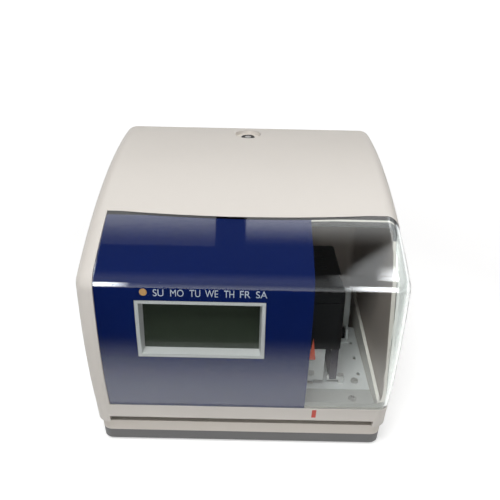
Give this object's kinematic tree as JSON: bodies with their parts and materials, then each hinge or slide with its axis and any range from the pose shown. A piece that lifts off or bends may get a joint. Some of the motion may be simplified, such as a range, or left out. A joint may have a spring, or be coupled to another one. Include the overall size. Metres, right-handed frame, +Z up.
{
  "type": "date and time stamp machine",
  "caption": "Desk machine that prints date and time on a sheet pushed into its front slot, with a lift-off cover, clear window, display, key lock and a travelling print head inside.",
  "frame": {"origin": "middle of the underside, on the surface that the feet rest on", "axes": "+Z up, the front with the paper slot looks along -Y, +X to the right seen from the front"},
  "size_m": [0.15, 0.141, 0.1392],
  "materials": {
    "aluminium": "cast",
    "battery": "shrink sleeve",
    "beige": "fine textured moulding",
    "beige_case": "fine textured moulding",
    "black": "satin moulding",
    "blue": "printed sheet",
    "board_green": "solder mask",
    "brass": "machined",
    "chrome": "plated",
    "clear": "polished clear plastic",
    "dark_grey": "fine textured moulding",
    "lcd": "dark display glass",
    "orange": "satin",
    "pale_grey": "satin moulding",
    "red": "painted inlay",
    "ribbon": "inked ribbon",
    "rubber": "matt",
    "steel": "brushed sheet",
    "white": "satin",
    "zinc": "zinc plated sheet"
  },
  "bodies": {
    "root": {"lower_case": "beige_case", "base_tray": "dark_grey", "rubber_feet": "rubber", "case_screws": "steel", "power_inlet": "black", "deck_plate": "zinc", "deck_screws": "steel", "entry_guide": "beige_case", "guide_screws": "steel", "platen": "rubber", "print_frame": "zinc", "guide_shaft": "steel", "stepper_motor": "zinc", "motor_bracket": "zinc", "ribbon_posts": "steel", "ink_ribbon": "ribbon", "ribbon_cartridge": "black", "print_pointer": "orange", "lever_bracket": "zinc", "lever_pin": "steel", "standoffs": "brass", "main_board": "board_green", "board_parts": "black", "switch_bodies": "black", "board_screws": "steel", "backup_battery": "battery", "lock_strike": "zinc"},
    "cover": {"top_cover": "beige", "front_window": "clear", "blue_panel": "blue", "lcd_frame": "pale_grey", "lcd_panel": "lcd", "display_board": "board_green", "display_screws": "steel", "amber_lens": "orange", "red_mark": "red", "lock_barrel": "chrome", "lock_nut": "brass"},
    "lock": {"lock_plug": "chrome", "lock_cam": "steel"},
    "carriage": {"carriage": "black", "print_head": "aluminium"},
    "lead_screw": {"lead_screw": "steel", "screw_gear": "white"},
    "motor_pinion": {"motor_pinion": "brass"},
    "ribbon_knob": {"ribbon_knob": "white"},
    "trigger_lever": {"trigger_lever": "black"},
    "paper_stop": {"paper_stop": "white"},
    "hour_button": {"hour_button": "white"},
    "minute_button": {"minute_button": "white"},
    "mode_button": {"mode_button": "white"}
  },
  "joints": [
    {"name": "cover_lift", "type": "slide", "parent": "root", "child": "cover", "axis": [0, 0, 1], "range_m": [0, 0.12]},
    {"name": "lock_turn", "type": "hinge", "parent": "cover", "child": "lock", "pos_m": [0, 0.052, 0.12], "axis": [0, 0, 1], "range_deg": [0, 90]},
    {"name": "screw_turn", "type": "hinge", "parent": "root", "child": "lead_screw", "pos_m": [0.037, 0, 0.031], "axis": [0, 1, 0], "range_deg": [0, 1051]},
    {"name": "carriage_slide", "type": "slide", "parent": "root", "child": "carriage", "axis": [0, -1, 0], "range_m": [0, 0.035]},
    {"name": "pinion_turn", "type": "hinge", "parent": "root", "child": "motor_pinion", "pos_m": [0.037, 0, 0.0454], "axis": [0, 1, 0], "range_deg": [-2102, 0]},
    {"name": "ribbon_knob_turn", "type": "hinge", "parent": "root", "child": "ribbon_knob", "pos_m": [0.024, 0, 0.064], "axis": [0, 1, 0], "continuous": true},
    {"name": "trigger_swing", "type": "hinge", "parent": "root", "child": "trigger_lever", "pos_m": [0.06, 0.014, 0.027], "axis": [1, 0, 0], "range_deg": [0, 25], "stiffness_Nm_per_rad": 0.004},
    {"name": "stop_slide", "type": "slide", "parent": "root", "child": "paper_stop", "axis": [0, 1, 0], "range_m": [-0.006, 0.0024]},
    {"name": "hour_press", "type": "slide", "parent": "root", "child": "hour_button", "axis": [0, 0, -1], "range_m": [0, 0.001], "stiffness_N_per_m": 150},
    {"name": "minute_press", "type": "slide", "parent": "root", "child": "minute_button", "axis": [0, 0, -1], "range_m": [0, 0.001], "stiffness_N_per_m": 150},
    {"name": "mode_press", "type": "slide", "parent": "root", "child": "mode_button", "axis": [0, 0, -1], "range_m": [0, 0.001], "stiffness_N_per_m": 150}
  ],
  "couplings": [
    {"joint": "screw_turn", "follows": "carriage_slide", "rad_per_m": 523.6},
    {"joint": "pinion_turn", "follows": "carriage_slide", "rad_per_m": -1047.2}
  ]
}
